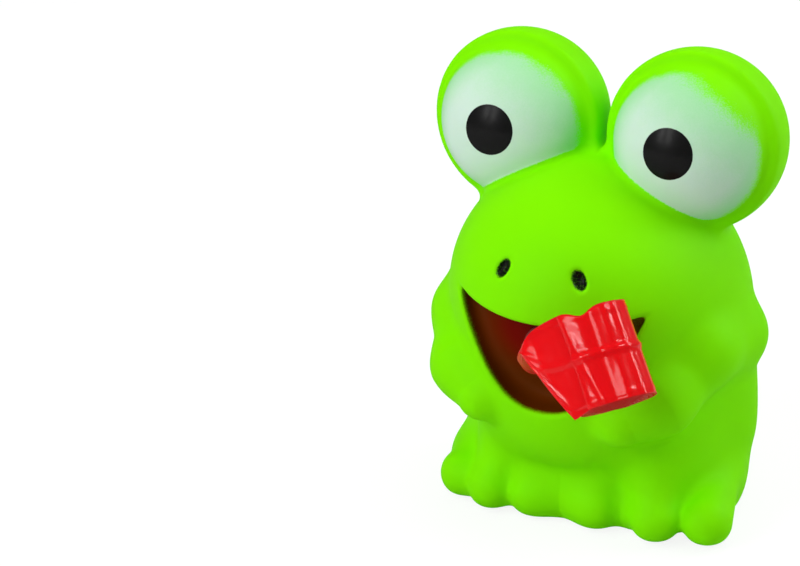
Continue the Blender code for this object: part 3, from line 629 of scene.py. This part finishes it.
def vinyl_finish():
    """Lime vinyl, with eye white, black and mouth red sprayed on through masks."""
    paint = Shading("lime_vinyl")
    # Faint clouds in the vinyl, then the grain, the specks and the drift of the spray.
    cloud = paint.noise(22.0, 2.0)
    grain = paint.noise(0.35, 3.0, 0.7)
    speck = paint.noise(0.16, 2.0, 0.8)
    drift = paint.noise(2.6, 3.0)
    spray = paint.math("ADD", paint.swing(grain, 2.5), paint.swing(speck, 2.5))
    spray = paint.math("ADD", spray, paint.swing(drift, 1.2))
    dense = paint.math("MULTIPLY_ADD", spray, 0.5, paint.stored("eye_depth"))
    white = paint.mix(paint.ramp(dense, 0.0, 9.0), EYE_WHITE_THIN, EYE_WHITE)
    white_edge = paint.math("MULTIPLY_ADD", spray, 0.55, paint.stored("eye_white"))
    colour = paint.mix(paint.ramp(white_edge, -0.9, 1.3), paint.mix(cloud, LIME, LIME_PALE), white)
    red = paint.mix(paint.ramp(paint.stored("mouth_blush"), 0.0, 1.0), MOUTH_BROWN, MOUTH_RED)
    mouth_edge = paint.math("MULTIPLY_ADD", spray, 0.22, paint.stored("mouth"))
    colour = paint.mix(paint.ramp(mouth_edge, -0.35, 1.5), colour, red)
    pupil_edge = paint.math("ADD", paint.stored("pupil"), paint.swing(speck, 0.08))
    nostril_edge = paint.math("ADD", paint.stored("nostril"), paint.swing(grain, 0.15))
    pupil = paint.ramp(pupil_edge, -0.05, 0.05)
    nostril = paint.ramp(nostril_edge, -0.1, 0.1)
    black = paint.math("MAXIMUM", pupil, nostril)
    rough = paint.math("MULTIPLY_ADD", black, -0.2, 0.58)
    paint.set(Base_Color=paint.mix(black, colour, PAINT_BLACK))
    paint.set(Roughness=paint.math("MULTIPLY_ADD", grain, 0.06, rough), Specular_IOR_Level=0.03)
    paint.set(Coat_Weight=paint.math("MULTIPLY", black, 0.22), Coat_Roughness=0.2)
    paint.set(Subsurface_Weight=0.12, Subsurface_Scale=0.0012, Subsurface_Radius=(0.5, 1.0, 0.15))
    # Paint in black is rougher than the bare skin.
    skin_grain = paint.math("MULTIPLY_ADD", speck, 0.6, grain)
    rough_paint = paint.math("MULTIPLY_ADD", black, 6.0, 1.0)
    paint.bump(paint.math("MULTIPLY", skin_grain, rough_paint), strength=0.12, distance=0.05)
    return paint.material


def film_finish():
    """Thin glossy red film that lets some light through, rougher along its cut edge, with painted shade
    darkening that edge and the gathered neck.
    """
    film = Shading("red_film")
    red = film.mix(film.noise(5.0, 2.0), FILM_RED, FILM_RED_PALE)
    edge = film.ramp(film.stored("film_edge_and_shade"), 0.0, 1.0)
    # Painted shade: the cut edge and the gathered neck get a darker red; the rougher edge is the film's own.
    film.set(Base_Color=film.mix(edge, red, FILM_RED_SHADED))
    film.set(Roughness=film.math("MULTIPLY_ADD", edge, 0.5, 0.11), Specular_IOR_Level=0.24)
    film.set(Coat_Weight=0.10, Coat_Roughness=0.06)
    film.set(Subsurface_Weight=0.3, Subsurface_Scale=0.001, Subsurface_Radius=(1.0, 0.12, 0.05))
    film.bump(film.noise(1.3, 3.0, 0.5), strength=0.16, distance=0.12)
    return film.material


def plain_plastic(name, dark, pale, roughness):
    """A moulded plastic with a faint cloud of colour and a fine skin."""
    plastic = Shading(name)
    plastic.set(Base_Color=plastic.mix(plastic.noise(6.0, 3.0), dark, pale))
    plastic.set(Roughness=roughness, Subsurface_Weight=0.2, Subsurface_Scale=0.001)
    plastic.bump(plastic.noise(0.4, 3.0, 0.6), strength=0.08, distance=0.05)
    return plastic.material


def add_eye_masks(piece, points):
    """Keeps where the eye white and the pupils are painted."""
    away = folded(points) - np.array(EYE_CENTRE, np.float32)
    reach = np.sqrt((away ** 2).sum(1))
    on_ball = (EYEBALL_RADIUS + WHITE_SEAM - reach) * WHITE_SEAM_SHARPNESS
    on_ball = np.clip(on_ball, *WHITE_SEAM_LIMITS)
    facing = np.clip(-away[:, 1] / np.maximum(reach, 1e-6), -1, 1)
    spread = (WHITE_SPREAD - np.arccos(facing)) * EYEBALL_RADIUS
    left_eye = points[:, 0] > 0
    across = np.where(left_eye, away[:, 0], -away[:, 0])
    aside = across * SPRAY_LEAN[0] + away[:, 1] * SPRAY_LEAN[1] + away[:, 2] * SPRAY_LEAN[2]
    covered = np.where(left_eye, SPRAY_REACH_LEFT, SPRAY_REACH_RIGHT) - aside
    depth = np.minimum(spread, covered * SPRAY_FADE)
    add_values(piece, "eye_white", np.where(reach < EYE_PAINT_REACH, np.minimum(depth, on_ball), UNPAINTED))
    add_values(piece, "eye_depth", depth)
    pupil_at = np.array((0.0, -math.cos(PUPIL_RISE), math.sin(PUPIL_RISE)), np.float32) * EYEBALL_RADIUS
    add_values(piece, "pupil", PUPIL_RADIUS - np.sqrt(((away - pupil_at) ** 2).sum(1)))


def add_mouth_masks(piece, points):
    """Keeps where the nostrils and the mouth are painted."""
    add_values(piece, "nostril", NOSTRIL_PAINT_RIM - nostril_field(points))
    across = points[:, 0]
    level = points[:, 2]
    depth = np.clip(-trunk_field(points), 0, MOUTH_PAINT_DEPTH)
    depth -= np.maximum(lip_field(points), 0) * LIP_PAINT_FADE + LIP_PAINT_INSET
    thinned = np.clip((across - CORNER_THINNING_FROM) / CORNER_THINNING_REACH, 0, 1)
    depth = np.clip(depth, UNPAINTED, MOUTH_PAINT_DEPTH - CORNER_THINNING * thinned)
    add_values(piece, "mouth", np.where(points[:, 1] < MOUTH_PAINT_FRONT, depth, UNPAINTED))
    aside = (across - BLUSH_MIDDLE[0]) / BLUSH_HALF[0]
    above = (level - BLUSH_MIDDLE[1]) / BLUSH_HALF[1]
    add_values(piece, "mouth_blush", (1.0 - np.sqrt(aside ** 2 + above ** 2)) * BLUSH_STRENGTH)


def make_skin(material):
    """The whole moulding as one closed skin, wrapped round the melted forms."""
    values = sample_grid(skin_field, SKIN_LOW, SKIN_HIGH, SKIN_STEP)
    points, faces = wrap_grid(values, np.array(SKIN_LOW, np.float32), SKIN_STEP)
    for _ in range(2):
        points, outward = settle(points, skin_field, 2)
        points = relax(points, faces)
    points, outward = settle(points, skin_field, 3)
    piece = add_mesh("frog_skin", points, faces, material)
    piece.data.normals_split_custom_set_from_vertices(outward.tolist())
    add_eye_masks(piece, points)
    add_mouth_masks(piece, points)
    return piece


class Tongue:
    """The roll's frame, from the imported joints: x outward, y the way the film runs, z up the roll's axis."""

    def __init__(self):
        joints = {joint["name"]: joint for joint in frame["joints"]}
        self.run = Vector(joints["tongue_extend"]["axis"]).normalized()
        self.up = -Vector(joints["tongue_curl"]["axis"]).normalized()
        self.out = self.run.cross(self.up).normalized()
        self.centre = Vector(joints["tongue_curl"]["pos_m"]) / MM

    def place(self, point):
        """A point by the roll, in the toy's own frame."""
        return self.centre + self.out * point[0] + self.run * point[1] + self.up * point[2]

    def turn_in(self, vector):
        """A direction of the toy, in the roll's frame."""
        return Vector((self.out.dot(vector), self.run.dot(vector), self.up.dot(vector)))

    def local(self, point):
        """A point of the toy, in the roll's frame."""
        return self.turn_in(Vector(point) - self.centre)


TONGUE = Tongue()


class Amount:
    """A number in a geometry tree that takes part in plain arithmetic."""

    def __init__(self, tree, socket):
        self.tree = tree
        self.socket = socket

    def math(self, operation, *others):
        """A math node that takes this number first."""
        node = self.tree.nodes.new("ShaderNodeMath")
        node.operation = operation
        for socket, value in zip(node.inputs, (self, *others)):
            if isinstance(value, Amount):
                self.tree.links.new(value.socket, socket)
            else:
                socket.default_value = value
        return Amount(self.tree, node.outputs[0])

    def __add__(self, other):
        return self.math("ADD", other)

    def __sub__(self, other):
        return self.math("SUBTRACT", other)

    def __rsub__(self, other):
        return self.math("MULTIPLY_ADD", -1.0, other)

    def __mul__(self, other):
        return self.math("MULTIPLY", other)

    def __truediv__(self, other):
        return self.math("DIVIDE", other)

    def __mod__(self, other):
        return self.math("FLOORED_MODULO", other)

    __radd__ = __add__
    __rmul__ = __mul__


def ease(share):
    """A share from 0 to 1 that starts and ends gently."""
    return share * share * (3.0 - 2.0 * share)


def bell(away):
    """A soft hump, 1 at its middle."""
    if isinstance(away, Amount):
        return (away * away * -1.0).math("EXPONENT")
    return math.exp(-away * away)


def crumple(angle, level):
    """Soft flats, and creases that stand up along the roll and break at the strip."""
    turned = angle % (2 * math.pi)
    rise = sum(height * (angle * close + shift).math("SINE") for height, close, shift in FLATS)
    off_strip = (level.math("ABSOLUTE") / CREASE_BREAK_REACH).math("MINIMUM", 1.0)
    broken = (1.0 - CREASE_BREAK) + CREASE_BREAK * off_strip
    for place, height, width, lean in CREASES:
        rise = rise + height * bell((turned - place - lean * level) / width) * broken
    return rise


def sag(angle, turn):
    """The slack of the loosely wound film on the roll's far side, less in each turn further in."""
    turned = angle % (2 * math.pi)
    return ROLL_SAG * (1.0 - turn / ROLL_TURNS) * bell((turned - ROLL_SAG_ANGLE) / ROLL_SAG_SPREAD)


def ridge(level):
    """The curl strip's line round the middle, and the weld along each edge."""
    strip = STRIP_LINE[0] * bell(level / STRIP_LINE[1])
    sides = (FILM_BOTTOM + WELD_INSET, FILM_TOP - WELD_INSET)
    return strip + sum(WELD_LINE[0] * bell((level - side) / WELD_LINE[1]) for side in sides)


# What each piece tells the winding tree.
WINDING_INPUTS = {
    "Points along": "NodeSocketInt",
    "Points across": "NodeSocketInt",
    "Start angle": "NodeSocketFloat",
    "First turn": "NodeSocketFloat",
    "Turns": "NodeSocketFloat",
    "Bottom": "NodeSocketFloat",
    "Top": "NodeSocketFloat",
    "Edge dent": "NodeSocketFloat",
    "Material": "NodeSocketMaterial",
}


def winding_tree():
    """Geometry nodes that wind a flat strip into the roll's loose spiral, outermost turn first."""
    tree = bpy.data.node_groups.new("winding", "GeometryNodeTree")
    for name, kind in WINDING_INPUTS.items():
        tree.interface.new_socket(name, in_out="INPUT", socket_type=kind)
    tree.interface.new_socket("Geometry", in_out="OUTPUT", socket_type="NodeSocketGeometry")
    given = tree.nodes.new("NodeGroupInput").outputs
    size = {name: Amount(tree, given[name]) for name in WINDING_INPUTS}
    flat = tree.nodes.new("GeometryNodeMeshGrid")
    flat.inputs["Size X"].default_value = 1.0
    flat.inputs["Size Y"].default_value = 1.0
    tree.links.new(given["Points along"], flat.inputs["Vertices X"])
    tree.links.new(given["Points across"], flat.inputs["Vertices Y"])
    split = tree.nodes.new("ShaderNodeSeparateXYZ")
    tree.links.new(tree.nodes.new("GeometryNodeInputPosition").outputs["Position"], split.inputs["Vector"])
    wound = (Amount(tree, split.outputs["X"]) + 0.5) * size["Turns"]
    across = Amount(tree, split.outputs["Y"]) + 0.5
    turn = wound + size["First turn"]
    angle = wound * (2 * math.pi) + size["Start angle"]
    slip = -WINDING_SWING * (angle - WINDING_SWING_SHIFT).math("SINE") - WINDING_STEP * turn
    dent = size["Edge dent"] * bell((angle % (2 * math.pi) - EDGE_DENT_ANGLE) / EDGE_DENT_SPREAD)
    fade = ease(((angle - CREASES_FROM) / CREASES_RISE).math("MINIMUM", 1.0))
    emerged = ease(((angle - TAKE_UP + TUCK_UNDER) / TUCK_UNDER).math("MINIMUM", 1.0))
    level = size["Bottom"] + (size["Top"] - dent - size["Bottom"]) * across
    radius = ROLL_RADIUS - ROLL_PITCH * turn + sag(angle, turn) - TUCK_DEPTH * (1.0 - emerged)
    radius = radius + crumple(angle, level) * fade + ridge(level)
    place = None
    steps = (radius * angle.math("COSINE"), radius * angle.math("SINE"), level + slip * fade)
    for direction, step in zip((TONGUE.out, TONGUE.run, TONGUE.up), steps):
        move = tree.nodes.new("ShaderNodeVectorMath")
        move.operation = "MULTIPLY_ADD"
        move.inputs[0].default_value = direction * MM
        tree.links.new(step.socket, move.inputs[1])
        if place is None:
            move.inputs[2].default_value = TONGUE.centre * MM
        else:
            tree.links.new(place, move.inputs[2])
        place = move.outputs["Vector"]
    # The cut edges, marked for their roughness and for painted shade.
    edge = (1.0 - across.math("MINIMUM", 1.0 - across) * EDGE_SHARPNESS).math("MAXIMUM", 0.0)
    keep = tree.nodes.new("GeometryNodeStoreNamedAttribute")
    keep.inputs["Name"].default_value = "film_edge_and_shade"
    tree.links.new(edge.socket, keep.inputs["Value"])
    shape = tree.nodes.new("GeometryNodeSetPosition")
    tree.links.new(place, shape.inputs["Position"])
    finish = tree.nodes.new("GeometryNodeSetMaterial")
    tree.links.new(given["Material"], finish.inputs["Material"])
    chain = [flat, keep, shape, tree.nodes.new("GeometryNodeSetShadeSmooth")]
    chain += [tree.nodes.new("GeometryNodeRealizeInstances"), finish, tree.nodes.new("NodeGroupOutput")]
    for first, second in zip(chain, chain[1:]):
        tree.links.new(first.outputs[0], second.inputs[0])
    return tree


def wind(name, tree, thickness, sizes):
    """A piece that is wound by the tree to the given sizes and then gets its wall."""
    piece = bpy.data.objects.new(name, bpy.data.meshes.new(name))
    bpy.context.scene.collection.objects.link(piece)
    winding = piece.modifiers.new("winding", "NODES")
    winding.node_group = tree
    for socket in tree.interface.items_tree:
        if socket.in_out == "INPUT":
            winding[socket.identifier] = sizes[socket.name]
    wall = piece.modifiers.new("wall", "SOLIDIFY")
    wall.thickness = thickness * MM
    wall.offset = 0.0
    return finished(piece)


def make_roll(tree, material):
    """The film's roll."""
    return wind("film_roll", tree, FILM_THICKNESS, {
        "Points along": ROLL_STEPS_IN_TURN * ROLL_TURNS + 1,
        "Points across": 41,
        "Start angle": TAKE_UP - TUCK_UNDER,
        "First turn": 0.0,
        "Turns": float(ROLL_TURNS),
        "Bottom": FILM_BOTTOM,
        "Top": FILM_TOP,
        "Edge dent": EDGE_DENT,
        "Material": material,
    })


def make_curl_strip(tree, material):
    """The springy strip under the film, wound with it half a turn's pitch further in."""
    turns = ROLL_TURNS - STRIP_FIRST_TURN
    return wind("curl_spring", tree, STRIP_THICKNESS, {
        "Points along": round(STRIP_STEPS_IN_TURN * turns) + 1,
        "Points across": 5,
        "Start angle": TAKE_UP,
        "First turn": STRIP_FIRST_TURN,
        "Turns": turns,
        "Bottom": -CURL_STRIP_WIDTH / 2,
        "Top": CURL_STRIP_WIDTH / 2,
        "Edge dent": 0.0,
        "Material": material,
    })


def bow(start, first, second, end, share):
    """A point on a curve with two handles, and the curve's direction there."""
    rest = 1.0 - share
    point = start * rest ** 3 + end * share ** 3
    point += first * (3 * share * rest ** 2) + second * (3 * share ** 2 * rest)
    slope = (first - start) * rest ** 2 + (end - second) * share ** 2
    slope += (second - first) * (2 * share * rest)
    return point, slope.normalized()


def film_sections():
    """The film's sections from sleeve to roll: middle, heading, half height, half depth, gathered, opened."""
    sleeve_start = TONGUE.local((0.0, SLEEVE_START, NOZZLE_LEVEL))
    sleeve = TONGUE.local((0.0, SLEEVE_END, NOZZLE_LEVEL))
    forward = TONGUE.turn_in(Vector((0.0, -1.0, 0.0)))
    landing = Vector((ROLL_RADIUS * math.cos(TAKE_UP), ROLL_RADIUS * math.sin(TAKE_UP), 0.0))
    heading = Vector((-math.sin(TAKE_UP), math.cos(TAKE_UP), 0.0))
    straight = Vector((0.0, 1.0, 0.0))
    fold = landing - heading * FOLD_REACH
    flat_fold = fold.copy()
    fold.z = (FOLD_TOP + FOLD_BOTTOM) / 2
    fold_half = (FOLD_TOP - FOLD_BOTTOM) / 2
    for step in range(SLEEVE_RINGS):
        middle = sleeve_start.lerp(sleeve, step / SLEEVE_RINGS)
        yield middle, forward, SLEEVE_RADIUS, SLEEVE_RADIUS, 0.0, 0.0
    handles = (sleeve + forward * SLEEVE_HANDLE, fold - straight * FOLD_HANDLE)
    for step in range(NECK_RINGS):
        share = step / NECK_RINGS
        middle, slope = bow(sleeve, *handles, fold, share)
        closing = ease(max(0.0, (share - NECK_CLOSES_FROM) / (1 - NECK_CLOSES_FROM)))
        loose = SLEEVE_RADIUS + (NECK_RADIUS - SLEEVE_RADIUS) * ease(min(1.0, share * NECK_NARROWING))
        half = loose + (fold_half - loose) * closing
        yield middle, slope, half, loose + (FOLD_BULK - loose) * closing, share, 0.0
    end_length = 1 - FAN_END_FROM
    shares = [FAN_END_FROM * step / FAN_RINGS for step in range(FAN_RINGS)]
    shares += [FAN_END_FROM + end_length * step / (FAN_END_RINGS - 1) for step in range(FAN_END_RINGS)]
    handles = (flat_fold + straight * FAN_HANDLE, landing - heading * LANDING_HANDLE)
    for share in shares:
        middle, slope = bow(flat_fold, *handles, landing, share)
        top = FOLD_TOP + (FILM_TOP - FOLD_TOP) * (1 - (1 - share) ** FAN_TOP_BLUNTNESS)
        past_corner = ease(max(0.0, (share - CORNER_SHARE) / (1 - CORNER_SHARE)))
        bottom = FOLD_BOTTOM + (CORNER_LEVEL - FOLD_BOTTOM) * min(1.0, share / CORNER_SHARE)
        bottom += (FILM_BOTTOM - CORNER_LEVEL) * past_corner
        bulk = FAN_BULK + (FOLD_BULK - FAN_BULK) * (1 - ease(min(1.0, share * FAN_FLATTENING)))
        bulk -= (FAN_BULK - FAN_END_BULK) * max(0.0, (share - FAN_END_FROM) / end_length)
        middle.z = (top + bottom) / 2
        yield middle, slope, (top - bottom) / 2, bulk, 1.0, share


def tube_faces(rings, sides):
    """Faces of a tube whose points come ring after ring, with both ends closed."""
    faces = []
    for ring in range(rings - 1):
        here = ring * sides
        ahead = here + sides
        for side in range(sides):
            following = (side + 1) % sides
            faces.append((here + side, here + following, ahead + following, ahead + side))
    start = tuple(range(sides))
    end = tuple(range((rings - 1) * sides, rings * sides))
    return faces + [start[::-1], end]


def make_tongue_film(material):
    """The film tube: a sleeve on the nozzle, gathered and folded, then fanned out flat to the roll."""
    points = []
    edge = []
    reached = []
    axis = Vector((0.0, 0.0, 1.0))
    for middle, heading, half, bulk, gathered, opened in film_sections():
        wide = (axis - heading * axis.dot(heading)).normalized()
        thick = heading.cross(wide)
        shut = (1 - opened) ** 2
        pleating = (NECK_PLEATS + FAN_PLEATS * opened) * shut * gathered
        # Painted shade darkens the gathered neck as a whole, fading out as the fan opens.
        neck_shade = NECK_SHADE * (1 - opened * NECK_SHADE_FADE)
        reached.append(middle.y)
        for side in range(FILM_SIDES):
            angle = 2 * math.pi * side / FILM_SIDES
            across = math.cos(angle)
            level = half * across
            broad = math.sin(BROAD_PLEATS * across + BROAD_PLEAT_SHIFT)
            pleat = pleating * (broad + FINE_PLEAT_SHARE * math.sin(FINE_PLEATS * across))
            depth = bulk * math.sin(angle) * (1 + PLEAT_BULGE * pleat) + pleat
            depth += ridge(level + middle.z - STRIP_LINE_LIFT * shut) * opened
            points.append(TONGUE.place(middle + wide * level + thick * depth))
            edge.append(max(neck_shade, 1 - (1 - abs(across)) * EDGE_SHARPNESS, 0.0))
    piece = add_mesh("tongue_film", points, tube_faces(len(reached), FILM_SIDES), material)
    piece.data.set_sharp_from_angle(angle=FILM_SHARP_EDGE)
    add_values(piece, "film_edge_and_shade", edge)
    return piece, reached[-FAN_END_RINGS], reached[-1]


def add_lamp(name, place, size, power, mirrored):
    """A rectangular lamp: a mirrored one shows in glossy surfaces alone, any other lights the rest alone."""
    lamp = bpy.data.lights.new(name, "AREA")
    lamp.shape = "RECTANGLE"
    lamp.size = size[0]
    lamp.size_y = size[1]
    lamp.energy = power
    holder = bpy.data.objects.new(name, lamp)
    holder.location = place
    holder.visible_glossy = mirrored
    holder.visible_diffuse = not mirrored
    holder.rotation_euler = (Vector(LAMP_AIM) - Vector(place)).to_track_quat("-Z", "Y").to_euler()
    bpy.context.scene.collection.objects.link(holder)


def show_to_camera(tree, plain, shown, share, output):
    """Mixes a share of another shader into what the camera sees, and into nothing else."""
    path = tree.nodes.new("ShaderNodeLightPath")
    part = tree.nodes.new("ShaderNodeMath")
    part.operation = "MULTIPLY"
    part.inputs[1].default_value = share
    choose = tree.nodes.new("ShaderNodeMixShader")
    tree.links.new(path.outputs["Is Camera Ray"], part.inputs[0])
    tree.links.new(part.outputs["Value"], choose.inputs["Fac"])
    tree.links.new(plain, choose.inputs[1])
    tree.links.new(shown, choose.inputs[2])
    tree.links.new(choose.outputs["Shader"], output)


def make_world():
    """A weak white fill that looks plain white to the camera."""
    world = bpy.data.worlds.new("studio")
    bpy.context.scene.world = world
    world.use_nodes = True
    nodes = world.node_tree.nodes
    fill = nodes["Background"]
    fill.inputs["Color"].default_value = PLAIN_WHITE
    fill.inputs["Strength"].default_value = WORLD_FILL
    backdrop = nodes.new("ShaderNodeBackground")
    backdrop.inputs["Color"].default_value = PLAIN_WHITE
    backdrop.inputs["Strength"].default_value = 1.0
    surface = nodes["World Output"].inputs["Surface"]
    show_to_camera(world.node_tree, fill.outputs["Background"], backdrop.outputs["Background"], 1.0, surface)


def make_floor():
    """A pale floor that glows for the camera, so that only soft shadows show on it."""
    paint = Shading("pale_floor")
    paint.set(Base_Color=paint.mix(paint.noise(60.0), FLOOR_GREY, FLOOR_GREY_PALE))
    paint.set(Roughness=0.9, Specular_IOR_Level=0.1)
    glow = paint.nodes.new("ShaderNodeEmission")
    glow.inputs["Color"].default_value = PLAIN_WHITE
    glow.inputs["Strength"].default_value = FLOOR_GLOW
    surface = paint.nodes["Material Output"].inputs["Surface"]
    plain = paint.shader.outputs["BSDF"]
    show_to_camera(paint.material.node_tree, plain, glow.outputs["Emission"], FLOOR_GLOW_SHARE, surface)
    sides = ((-1, -1), (1, -1), (1, 1), (-1, 1))
    corners = [(across * FLOOR_HALF, deep * FLOOR_HALF, FLOOR_LEVEL) for across, deep in sides]
    floor = add_mesh("floor", corners, [(0, 1, 2, 3)], paint.material)


def make_camera():
    """Stands where the fitted view stands and turns to the middle of the picture."""
    right = Vector((math.cos(VIEW_AZIMUTH), math.sin(VIEW_AZIMUTH), 0.0))
    level_back = Vector((math.sin(VIEW_AZIMUTH), -math.cos(VIEW_AZIMUTH), 0.0))
    back = level_back * math.cos(VIEW_ELEVATION) + Vector((0.0, 0.0, math.sin(VIEW_ELEVATION)))
    up = back.cross(right)
    place = Vector(VIEW_POINT) + back * VIEW_DISTANCE
    focal = VIEW_SCALE * VIEW_DISTANCE
    aside = (IMAGE_SIZE[0] / 2 - VIEW_POINT_PIXEL[0]) / focal
    lower = (IMAGE_SIZE[1] / 2 - VIEW_POINT_PIXEL[1]) / focal
    new_back = (back - right * aside + up * lower).normalized()
    new_right = (right - new_back * right.dot(new_back)).normalized()
    new_up = new_back.cross(new_right)
    data = bpy.data.cameras.new("camera")
    data.sensor_width = SENSOR
    data.lens = focal / IMAGE_SIZE[0] * SENSOR * VIEW_WIDENING
    data.clip_start = 0.01
    data.clip_end = 20.0
    holder = bpy.data.objects.new("camera", data)
    turn = Matrix((new_right, new_up, new_back)).transposed().to_4x4()
    holder.matrix_world = Matrix.Translation(place * MM) @ turn
    bpy.context.scene.collection.objects.link(holder)
    bpy.context.scene.camera = holder


def repaint(name, material):
    """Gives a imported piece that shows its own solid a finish."""
    piece = frame["nodes"][name]
    piece.data.materials.clear()
    piece.data.materials.append(material)


bpy.context.scene.view_settings.view_transform = "Standard"
make_camera()
make_world()
make_floor()
for lamp in LAMPS:
    add_lamp(*lamp)

vinyl = vinyl_finish()
film = film_finish()

skin = make_skin(vinyl)
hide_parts("body_shell")
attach(skin, "body")

# Where the film meets the roll, and where the fan's flat end starts and stops along the roll's frame, in
# metres.
MEET = tuple(TONGUE.place((ROLL_RADIUS, 0.0, 0.0)) * MM)
tongue_film, stretch_from, stretch_to = make_tongue_film(film)
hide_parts("tongue_neck", "tongue_lead")
stretch = [tuple(TONGUE.place((0.0, place, 0.0)) * MM) for place in (stretch_from, stretch_to)]
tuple(stretch[0])
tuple(stretch[1])
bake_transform(tongue_film)

winding = winding_tree()
film_roll = make_roll(winding, film)
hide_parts("tongue_roll")
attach(film_roll, "tongue_roll")
tuple(TONGUE.out)
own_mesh(film_roll)

strip = plain_plastic("curl_strip_plastic", STRIP_RED, STRIP_RED_PALE, roughness=0.25)
curl_spring = make_curl_strip(winding, strip)
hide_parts("curl_strip")
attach(curl_spring, "tongue_roll")
tuple(TONGUE.out)
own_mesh(curl_spring)

repaint("base_plug", plain_plastic("plug_plastic", PLUG_GREEN, PLUG_GREEN_PALE, roughness=0.42))
repaint("tongue_nozzle", plain_plastic("nozzle_plastic", NOZZLE_RED, NOZZLE_RED_PALE, roughness=0.4))
